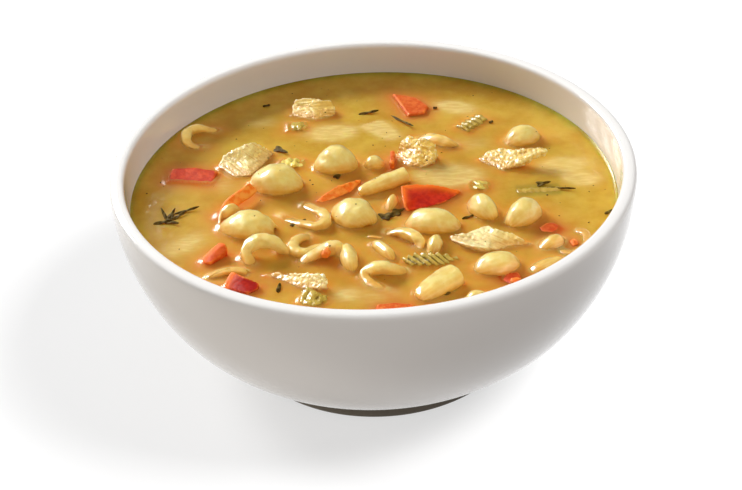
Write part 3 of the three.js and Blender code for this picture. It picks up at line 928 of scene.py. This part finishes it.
# a curled shaving hangs from a route; the others are plates with a thickness and an upper edge
shaving = {"drop": (0.9, -0.5, -0.8), "steps": 3, "flare": 1, "thickness": 1.2}
shavingRoute = [
    (-36.6, 0.4, 4), (-37.7, -2.4, 4.2), (-39.8, -4.6, 4), (-42.1, -6.2, 3.4), (-43.7, -7.9, 2.4),
    (-44.9, -10.2, 1), (-45.6, -11.8, -1),
]
carrotPlates = {
    "carrot_strip": (2.2, [
        (-16.9, -5.9, 0.8), (-14.7, -4, 1.8), (-10.8, -1, 2.6), (-6.8, 1.7, 2.4), (-3.1, 4.1, 1.6),
        (-4.8, 1.4, 0.8), (-6.4, -1.5, 0.4), (-11.9, -5.3, 0.2), (-15.1, -6.7, 0.2),
    ]),
    "carrot_front_left": (3.6, [
        (-38.7, -43.4, 3.8), (-35.3, -45.5, 3.2), (-31.3, -46.9, 1.6), (-31.9, -48.3, 0.8),
        (-34.5, -50, 0.8), (-40, -47.6, 0.9), (-41, -46.4, 1.4), (-40.2, -44.7, 2.6),
    ]),
    "carrot_wedge": (4.5, [
        (8, -4.9, 4.2), (11.2, -4.4, 4.3), (15.9, -4, 3.7), (20.8, -3.9, 2.7), (25.5, -3.6, 1),
        (24.5, -5.2, 0.6), (20.5, -9.2, 0.5), (14.6, -11.6, 0.5), (9.3, -13.2, 0.7), (8.4, -11.5, 2.2),
        (7.9, -7, 3.8),
    ]),
    "carrot_bar": (3, [
        (-48, -33.8, 1.4), (-45.2, -30.9, 2.8), (-43, -29.1, 3.6), (-41.3, -30.1, 3.6), (-40.8, -31.3, 2.4),
        (-42.9, -33.7, 1.6), (-45.3, -35.8, 1.1), (-47.2, -35.4, 1),
    ]),
    "carrot_front_right": (2.5, [
        (31.7, -42.2, 0), (35.5, -42.1, 0.2), (38.4, -45.2, 0.3), (38.6, -48.2, 0.5), (36.3, -50.1, 0.3),
        (32.8, -47.9, -0.1), (31.5, -44.4, -0.3),
    ]),
    "carrot_right": (2, [
        (46, -23.6, 0.3), (48.3, -21.5, 0.5), (51.1, -21.6, 0.1), (53.5, -24.6, -0.4), (51.5, -27.1, -0.6),
        (48.8, -26, 0.1), (46.7, -25.5, 0.2),
    ]),
}
# small bits beside them, seen only from close by
carrotBits = {
    "carrot_bit_right": (1.6, [
        (53.5, -31, 0.3), (54.7, -30.2, 0.8), (55.9, -31.1, 0.7), (55.8, -32.3, 0.4), (54.3, -33.2, 0.4),
    ]),
    "carrot_bit_front": (1.6, [
        (35.4, -47.8, 0.8), (37.6, -47.6, 1.3), (38.6, -48.4, 1), (36.9, -49.6, 0.7), (35.3, -49.2, 0.7),
    ]),
    "carrot_bit_torn": (1.4, [
        (-14.4, -34.6, 3.6), (-13.1, -34, 4), (-12.1, -35.3, 3.2), (-13.1, -36, 2.4), (-15.3, -35.8, 2.2),
    ]),
}
# pieces that lie level with the soup are lifted a little, so that they show: by how many mm
afloat = {"carrot_back": 0.8, "carrot_left": 0.8, "carrot_front": 0.6, "celery_back_right": 0.6}


def lift(piece, node):
    piece.data.transform(Matrix.Translation((0, 0, afloat.get(node, 0) * mm)))


def nearLine(point, line, width):
    # seen from above: 1 up to 1.6 widths from the line, fading beyond
    far = []
    for start, end in zip(line, line[1:]):
        start, end = Vector(start) * mm, Vector(end) * mm
        nearest, share = intersect_point_line(point.xy, start, end)
        nearest = [start, nearest, end][1 + (share > 1) - (share < 0)]
        far.append((point.xy - nearest.xy).length)
    return min(1, math.exp(1.6 - min(far) / width))


def cutCarrot(node):
    name = node + "_cut"
    if node == "carrot_shaving":
        carrot = drawWall(name, shavingRoute, **shaving)
    elif node in carrotPlates or node in carrotBits:
        thickness, outline = carrotPlates.get(node) or carrotBits[node]
        carrot = makePlate(name, outline, thickness, carrotLook["crown"], carrotLook["voxel"])
    else:
        carrot = cageOf(node, name)
        roundEdges(carrot, carrotLook["round"], 25)
        lift(carrot, node)
    remesh(carrot, carrotLook["voxel"])
    roughen(carrot, "CLOUDS", *carrotLook["waver"], noise_depth=2)
    roughen(carrot, "CLOUDS", *carrotLook["grain"], noise_depth=2)
    paintHollows(carrot, "ridge", reach=0.06 * mm, rounds=3)
    ridge = [0.0] * len(carrot.data.vertices)
    carrot.data.attributes["ridge"].data.foreach_get("value", ridge)
    limit, rate = carrotLook["edge"]
    paint(carrot, "edge", [min(1, max(0, (limit - r) * rate)) for r in ridge])
    paint(carrot, "thin", [carrotLook["thin"].get(node, 0)] * len(ridge))
    rind, width = carrotLook["rind"].get(node), carrotLook["rindWidth"]
    paint(carrot, "rind", [nearLine(p.co, rind, width) if rind else 0 for p in carrot.data.vertices])
    smooth(carrot)
    return carrot


celeryLook = {
    # ridge turn about Z, ridge spacing, ridge depth, depth of the knobs, paleness
    "celery_back_left": (10, 3, 0.25, 1, 0.25),
    "celery_behind_shell": (-10, 3.2, 0.25, 1, 1),
    "celery_back_right": (44, 3.4, 0.6, 0.6, 0.15),
    "celery_cube": (30, 3.4, 0.2, 1.1, 0.7),
    "celery_ribbed": (44, 2.3, 1, 0.3, 0.4),
    "celery_front_left": (-30, 3.6, 0.3, 1.3, 0.25),
    "celery_right": (2, 3, 0.1, 0.3, 0.3),
}
celeryPlates = {
    "celery_ribbed": (1.6, [
        (7.4, -37.4, 1.2), (10.1, -36.4, 2), (14.7, -36.3, 2), (18.3, -36.4, 1.6), (22.6, -37.1, 0.3),
        (20.5, -38.5, 0.3), (17.7, -40.1, 0.5), (13.2, -39.8, 0.9), (8.2, -39.4, 0.7),
    ]),
    "celery_front_left": (2, [
        (-20.5, -53, 0.6), (-20.3, -51.1, 2), (-18.4, -50.8, 2.8), (-15.7, -52.3, 2.2), (-13.2, -52.5, 0.8),
        (-13.6, -55, 0.3), (-16.5, -56.3, 0.3), (-19.9, -55.2, 0.3),
    ]),
}
celeryGrain = {"voxel": 0.3, "rounds": 8, "crown": 0.5, "ridgeLength": 30, "knob": 1.3, "reach": 0.08}


def cutCelery(node):
    turn, spacing, ridge, knob, paleness = celeryLook[node]
    name, size = node + "_cut", celeryGrain
    if node in celeryPlates:
        thickness, outline = celeryPlates[node]
        celery = makePlate(name, outline, thickness, size["crown"], size["voxel"])
    else:
        celery = cageOf(node, name)
        lift(celery, node)
        remesh(celery, size["voxel"])
        relax(celery, size["rounds"])
    length = size["ridgeLength"]
    bands = {"wood_type": "BANDNOISE", "turbulence": 1}
    roughen(celery, "WOOD", spacing, ridge, (1, length, length), turn, **bands)
    roughen(celery, "CLOUDS", size["knob"], knob, noise_depth=2)
    paintHollows(celery, reach=size["reach"] * mm)
    paint(celery, "paleness", [paleness] * len(celery.data.vertices))
    smooth(celery)
    return celery


# middle of each leaf in mm, turn, length, width, how many lobes
leaves = [
    ((-60.6, -13.6), 10, 4.6, 1.6, 2),
    ((-58.4, -13.7), -28, 4.4, 1.8, 3),
    ((-60.7, -9.8), 112, 5.4, 1.4, 2),
    ((-58.6, -10), 75, 5, 1.5, 3),
    ((-56.6, -10.8), 42, 4.8, 1.4, 2),
    ((-54.4, -8.1), 20, 6, 1.2, 2),
    ((3.2, -15.3), -5, 4.6, 3, 5),
    ((6.4, -13.3), 30, 4.4, 2.6, 4),
    ((-28.5, 24), -42, 5.6, 2.4, 3),
    ((-0.6, 45.2), 10, 5.2, 1.5, 2),
    ((9.6, 39.1), -52, 9.5, 1.1, 2),
    ((-10.4, 8), 60, 4.4, 1.6, 3),
    ((-22.1, -17.4), 38, 5, 1.8, 3),
    ((-33.7, 52.3), 8, 2.6, 1, 1),
    ((17.1, -53.3), 8, 3.4, 1.6, 2),
    ((27, -17), 18, 3.6, 1.1, 2),
    ((66.7, -17.3), 30, 3.2, 1, 1),
    ((-26.3, -47.5), 80, 3, 1.6, 2),
    ((49.6, -1), 8, 4.2, 1.8, 3),
    ((54.8, -3.9), -16, 9, 0.8, 1),
    ((20.8, 46.5), 0, 1.4, 1.2, 1),
    ((37.9, 36.1), 30, 1.6, 1.1, 1),
]
leafLook = {
    "points": 24,
    "inset": 0.18,  # a leaf is first drawn 1 wide
    "lobe": 0.34,
    "point": 0.45,  # how much narrower the tip is
    "curl": 0.12,
    "height": 1.1 * mm,
    "lean": (12, -6),
    "thickness": 0.25 * mm,
    "above": 0.35,
}


def makeLeaf(name, place, turn, length, width, lobes):
    circle = bpy.ops.mesh.primitive_circle_add
    leaf = begin(name, circle, vertices=leafLook["points"], radius=0.5, fill_type="NGON")
    bpy.ops.object.mode_set(mode="EDIT")
    bpy.ops.mesh.inset(thickness=leafLook["inset"])
    bpy.ops.mesh.poke()
    bpy.ops.object.mode_set(mode="OBJECT")
    lobe = leafLook["lobe"] if lobes > 1 else 0
    for point in leaf.data.vertices:
        angle = math.atan2(point.co.y, point.co.x)
        reach = point.co.length * (1 + lobe * math.cos(lobes * angle))
        across = reach * math.sin(angle) * (1 - leafLook["point"] * point.co.x)
        point.co = Vector((reach * math.cos(angle), across, leafLook["curl"] * math.sin(3 * angle)))
    leaf.scale = (length * mm, width * mm, leafLook["height"])
    leaf.rotation_euler = [math.radians(a) for a in (*leafLook["lean"], turn)]
    leaf.location = atSoup(*place, leafLook["above"])
    settle(leaf)
    finishModifier(leaf, "SOLIDIFY", thickness=leafLook["thickness"], offset=0)
    subdivide(leaf, 1)
    smooth(leaf)
    return leaf


def join(pieces, name):
    bpy.ops.object.select_all(action="DESELECT")
    for piece in pieces:
        piece.select_set(True)
    bpy.context.view_layer.objects.active = pieces[0]
    bpy.ops.object.join()
    joined = bpy.context.object
    joined.name = name
    return joined


def makeHerbs():
    herbs = join([makeLeaf(f"leaf_{k}", *leaf) for k, leaf in enumerate(leaves)], "herb_leaves")
    dress(herbs, herbFinish(), "herb")


specks = {
    "count": 110,
    "size": (0.3, 0.75),
    "width": (0.5, 0.9),
    "flatness": 0.35,
    "lean": 0.3,
    "spread": 70 * mm,
    "above": 0.03 * mm,
    "placed": [
        (-68.4, 21.2), (-69.5, 12.5), (-62.5, 5.9), (-67.2, 2.4), (-58.7, 19.2), (-18, 3.8), (53.6, -11.2),
    ],
}


def makeSpecks(tree):
    chance = random.Random(7)
    places = [Vector((x * mm, y * mm)) for x, y in specks["placed"]]
    while len(places) < specks["count"]:
        radius = specks["spread"] * math.sqrt(chance.random())
        angle = chance.uniform(0, math.tau)
        places.append(Vector((radius * math.cos(angle), radius * math.sin(angle))))
    flakes = []
    for x, y in places:
        size = chance.uniform(*specks["size"]) * mm
        flake = begin("flake", bpy.ops.mesh.primitive_ico_sphere_add, subdivisions=1, radius=size / 2)
        flake.scale = (1, chance.uniform(*specks["width"]), specks["flatness"])
        lean = [chance.uniform(-specks["lean"], specks["lean"]) for _ in range(2)]
        flake.rotation_euler = (*lean, chance.uniform(0, math.pi))
        # it drops from the rim's height on a piece or on the broth
        ground = tree.ray_cast(Vector((x, y, bowlTop.z)), Vector((0, 0, -1)), bowlTop.z)[0]
        height = max(ground.z if ground else soupLevel, soupLevel)
        flake.location = (x, y, height + specks["above"])
        settle(flake)
        flakes.append(flake)
    joined = join(flakes, "pepper_specks")
    smooth(joined)
    dress(joined, herbFinish(), "herb")


broth = {
    "edge": 256,
    "cuts": 3,
    "rings": 8,
    "overlap": (0.15 * mm, 0.1 * mm),  # into the bowl's wall, at the surface and under it
    "floorInset": 5 * mm,
    # how the surface climbs: how high and how quickly that fades away from the wall or the piece
    "wallRise": (0.9 * mm, 1.1 * mm),
    "pieceRise": (0.5 * mm, 0.7 * mm),
    # how strongly what lies under it shows, the most of that, and how deep one sees
    "sunkShare": 2.3,
    "standingShare": 0.7,
    "most": 0.85,
    "clearness": 1.4 * mm,
    "rays": 8,
    "leans": (0.7, 0.35),
    # the painted light round pieces and round carrot, warm rims that fill the pieces' shadows and carry the
    # carrot's orange light: how strong, how quickly that fades, and where it ends
    "paintedLightNearPieces": (1, 2.4 * mm),
    "paintedCarrotLight": (0.75, 3.2 * mm),
    "nearEnd": 6 * mm,
    "glowEnd": 14 * mm,
}


def makeBroth():
    wallOverlap, overlap = broth["overlap"]
    radius = innerRadius(soupLevel) + wallOverlap
    bottom = bowl["floor"] + 0.2 * mm
    rings = [(radius, soupLevel)]
    for k in range(1, broth["rings"] + 1):
        height = soupLevel + (bottom - soupLevel) * math.sin(math.pi / 2 * k / broth["rings"])
        rings.append((innerRadius(height) + overlap, height))
    rings[-1] = (rings[-1][0] - broth["floorInset"], rings[-1][1])
    circle = bpy.ops.mesh.primitive_circle_add
    soup = begin("soup_broth", circle, vertices=broth["edge"], radius=radius, location=(0, 0, soupLevel))
    settle(soup)
    openMesh("EDGE")
    bpy.ops.mesh.fill_grid(span=broth["edge"] // 4)
    bpy.ops.mesh.select_all(action="SELECT")
    bpy.ops.mesh.subdivide(number_cuts=broth["cuts"])
    bpy.ops.mesh.select_all(action="SELECT")
    bpy.ops.mesh.region_to_loop()
    drawOut(bpy.ops.mesh.extrude_edges_move, rings)
    bpy.ops.mesh.edge_face_add()
    closeMesh()
    return soup


# what shows through the broth, each in its own colour
kinds = ("pale", "orange", "meat", "green")


def treeOf(pieces):
    # one search tree over several pieces, and which piece each face belongs to
    points, faces, owners = [], [], []
    for piece in pieces:
        start = len(points)
        points += [v.co.copy() for v in piece.data.vertices]
        faces += [[start + v for v in face.vertices] for face in piece.data.polygons]
        owners += [piece["kind"]] * len(piece.data.polygons)
    return BVHTree.FromPolygons(points, faces), owners


def fade(far, strength, reach):
    # from its full strength at no distance down to nothing far off
    return 0 if far is None else strength * math.exp(-far / reach)


def shadeBroth(soup, standing, sunk):
    # shows what lies under the surface, and lets the surface climb the wall and the pieces
    tree, owners = treeOf(standing + sunk)
    standFaces = sum(len(piece.data.polygons) for piece in standing)
    standTree, _ = treeOf([p for p in standing if max(v.co.z for v in p.data.vertices) > soupLevel + mm])
    carrotTree, _ = treeOf([p for p in standing + sunk if p["kind"] == "orange"])
    down = [Vector((0, 0, -1))]
    for k in range(broth["rays"]):
        angle = math.tau * k / broth["rays"]
        lean = broth["leans"][k % 2]
        down.append(Vector((lean * math.cos(angle), lean * math.sin(angle), -1)).normalized())
    count = len(soup.data.vertices)
    seen = {kind: [0.0] * count for kind in kinds}
    paintedLightNearPieces = [0.0] * count
    paintedCarrotLight = [0.0] * count
    clear = broth["clearness"]
    edge = innerRadius(soupLevel)
    for k, point in enumerate(soup.data.vertices):
        place = point.co.copy()
        if abs(place.z - soupLevel) > 0.01 * mm:
            continue
        start = place + Vector((0, 0, 0.02 * mm))  # so that a ray also meets what is level with it
        for ray in down:
            hit, _, face, far = tree.ray_cast(start, ray, 4 * clear)
            if hit:
                share = broth["sunkShare"] if face >= standFaces else broth["standingShare"]
                seen[owners[face]][k] += share * math.exp(-far * -ray.z / clear) / len(down)
        # painted light: how close each point lies to a standing piece, and to carrot, sets the warm rims
        close = standTree.find_nearest(place, broth["nearEnd"])[3]
        paintedLightNearPieces[k] = fade(close, *broth["paintedLightNearPieces"])
        paintedCarrotLight[k] = fade(carrotTree.find_nearest(place, broth["glowEnd"])[3], *broth["paintedCarrotLight"])
        wall = max(0, edge - math.hypot(place.x, place.y))
        point.co.z += fade(close, *broth["pieceRise"]) + fade(wall, *broth["wallRise"])
    for kind in kinds:
        paint(soup, kind, [min(broth["most"], value) for value in seen[kind]])
    paint(soup, "paintedLightNearPieces", paintedLightNearPieces)
    paint(soup, "paintedCarrotLight", paintedCarrotLight)


warmth = {"strength": 0.5, "reach": 1.6 * mm}
warmthEnd = 8 * mm


def warmByCarrots(pieces):
    # painted light: pieces close to carrot take on the orange light it throws
    carrotTree, _ = treeOf([p for p in pieces if p["kind"] == "orange"])
    for piece in pieces:
        if piece["kind"] in ("pale", "meat"):
            places = [point.co for point in piece.data.vertices]
            gaps = [carrotTree.find_nearest(place, warmthEnd)[3] for place in places]
            paint(piece, "paintedCarrotLight", [fade(gap, **warmth) for gap in gaps])


stage = {
    "target": Vector((0, 0, 32 * mm)),
    "distance": 429 * mm,
    "elevation": 34.73,
    "roll": 2.25,
    "lens": 68.83,
    "shift": (-0.00624, -0.00474),
    "floor": 6,  # m
    "haze": 0.08,  # light from all sides
}


def makeCamera():
    lens = bpy.data.cameras.new("camera")
    lens.lens = stage["lens"]
    lens.sensor_width = 36
    lens.shift_x, lens.shift_y = stage["shift"]
    lens.clip_start = 0.01
    camera = addObject("camera", lens)
    elevation = math.radians(stage["elevation"])
    away = Vector((0, -math.cos(elevation), math.sin(elevation))) * stage["distance"]
    tilt = Euler((math.pi / 2 - elevation, 0, 0)).to_matrix().to_4x4()
    roll = Matrix.Rotation(-math.radians(stage["roll"]), 4, "Z")
    camera.matrix_world = Matrix.Translation(stage["target"] + away) @ tilt @ roll
    bpy.context.scene.camera = camera


# azimuth from +X towards +Y, elevation, distance in m, width and height in m, light on the soup, tint,
# and what it lights
lamps = {
    "window_left": (139, 26.5, 1, 0.16, 0.28, 0.43, (0.98, 0.97, 0.97), "soup"),
    "window_middle": (126, 26.5, 1, 0.16, 0.28, 0.43, (0.98, 0.97, 0.97), "soup"),
    "window_right": (113, 26.5, 1, 0.16, 0.28, 0.43, (0.98, 0.97, 0.97), "soup"),
    "ceiling": (80, 76, 1.1, 1.1, 1.1, 0.24, (1, 0.8, 0.54), "edible"),
    "overhead": (90, 84, 1.3, 0.8, 0.8, 0.43, (0.9, 0.97, 1), "bowl"),
    "wall_right": (0, 64, 1.3, 0.8, 0.6, 0.5, (1, 0.95, 0.93), "bowl"),
    "front_left": (230, 0, 1.3, 0.8, 0.6, 0.32, (1, 0.93, 0.87), "bowl"),
    "front_right": (310, 0, 1.3, 0.8, 0.6, 0.16, (1, 0.88, 0.8), "bowl"),
    "bounce_left": (180, -30, 1.3, 0.8, 0.6, 0.26, (1, 0.85, 0.65), "bowl"),
    "soup_fill": (285, 52, 1.3, 0.8, 0.6, 0.12, (1, 0.84, 0.42), "broth"),
    "key": (150, 34, 1.1, 0.4, 0.4, 0.72, (1, 0.98, 0.87), "pieces"),
    "soup_glow": (285, 38, 1.3, 0.8, 0.6, 0.36, (1, 0.88, 0.5), "pieces"),
    "soft_top": (110, 75, 1.3, 0.8, 0.6, 0.3, (1, 0.98, 0.88), "pieces"),
    "glint_left": (168, 36, 1, 0.12, 0.34, 2.2, (1, 1, 1), "pieces"),
    "glint_right": (150, 38, 1, 0.12, 0.4, 2.2, (1, 1, 1), "pieces"),
    "table_right": (350, 50, 1.5, 0.6, 0.6, 1.75, (1, 1, 1), "table"),
    "table_left": (150, 40, 1.5, 0.6, 0.6, 0.95, (1, 1, 1), "table"),
}


def addLamp(name, azimuth, elevation, distance, width, height, light, tint):
    lamp = bpy.data.lights.new(name, "AREA")
    lamp.shape = "RECTANGLE"
    lamp.size = width
    lamp.size_y = height
    lamp.energy = light * (math.pi * distance) ** 2
    lamp.color = tint
    holder = addObject(name, lamp)
    a, e = math.radians(azimuth), math.radians(elevation)
    away = Vector((math.cos(a) * math.cos(e), math.sin(a) * math.cos(e), math.sin(e)))
    holder.location = Vector((0, 0, soupLevel)) + away * distance
    holder.rotation_euler = away.to_track_quat("Z", "Y").to_euler()
    return holder


def tableFinish():
    # a white sheet lit from below as well, so that its shadows stay faint
    return Finish("table", {}).close({
        "Base Color": (0.3, 0.3, 0.3, 1),
        "Roughness": 0.9,
        "Emission Color": (1, 1, 1, 1),
        "Emission Strength": 0.63,
    })


def lightOnly(name, pieces, state="INCLUDE"):
    group = bpy.data.collections.new(name)
    for piece in pieces:
        group.objects.link(piece)
    for member in group.collection_objects:
        member.light_linking.link_state = state
    return group


def makeStage(bowlPiece, soup, pieces):
    floor = begin("floor", bpy.ops.mesh.primitive_plane_add, size=stage["floor"])
    floor.data.materials.append(tableFinish())
    floor.visible_diffuse = False
    floor.visible_shadow = False
    lit = {
        "table": lightOnly("lit_table", [floor]),
        "bowl": lightOnly("lit_bowl", [bowlPiece]),
        "broth": lightOnly("lit_broth", [soup]),
        "pieces": lightOnly("lit_pieces", pieces),
        "edible": lightOnly("lit_edible", [floor, bowlPiece], "EXCLUDE"),
        "soup": lightOnly("lit_soup", [floor] + pieces, "EXCLUDE"),
    }
    for name, (*facts, target) in lamps.items():
        lamp = addLamp(name, *facts)
        lamp.light_linking.receiver_collection = lit[target]
        lamp.visible_glossy = name.startswith(("window", "glint"))
        lamp.visible_diffuse = not name.startswith("glint")
    world = bpy.data.worlds.new("studio")
    world.use_nodes = True
    background = world.node_tree.nodes["Background"]
    background.inputs["Color"].default_value = (1, 1, 1, 1)
    background.inputs["Strength"].default_value = stage["haze"]
    bpy.context.scene.world = world
    bpy.context.scene.view_settings.view_transform = "Standard"
    bpy.context.scene.cycles.caustics_reflective = False


bowlPiece = makeBowl()
print("bowl")

families = {
    # maker, finish, slot, and what kind of thing it is under the broth
    "shell": (cookShell, pastaFinish(), "pasta", "pale"),
    "chicken": (tearChicken, chickenFinish(), "chicken", "meat"),
    "carrot": (cutCarrot, carrotFinish(), "carrot", "orange"),
    "celery": (cutCelery, celeryFinish(), "celery", "green"),
}


def serve(piece, family, *nodes):
    _, finish, slot, kind = families[family]
    piece["kind"] = kind
    dress(piece, finish, slot, *nodes)
    return piece


standing = []
for node in sorted(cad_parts):
    family = node.split("_")[0]
    if family in families:
        make = families[family][0]
        standing.append(serve(make(node), family, node))
print("standing pieces:", len(standing))

sunk = [serve(sinkShell(name, *facts), "shell") for name, facts in sunkShells.items()]
sunk += [serve(layRim(name, *facts), "shell") for name, facts in rims.items()]
sunk += [serve(cutCarrot(name), "carrot") for name in carrotBits]
print("sunk pieces:", len(sunk))

warmByCarrots(standing + sunk)
soup = makeBroth()
shadeBroth(soup, standing, sunk)
smooth(soup)
dress(soup, brothFinish(), "broth", "broth")
print("broth:", len(soup.data.polygons), "faces")

makeHerbs()
makeSpecks(treeOf(standing)[0])
print("herbs and specks")
makeCamera()
makeStage(bowlPiece, soup, standing + sunk)
print("camera and stage")
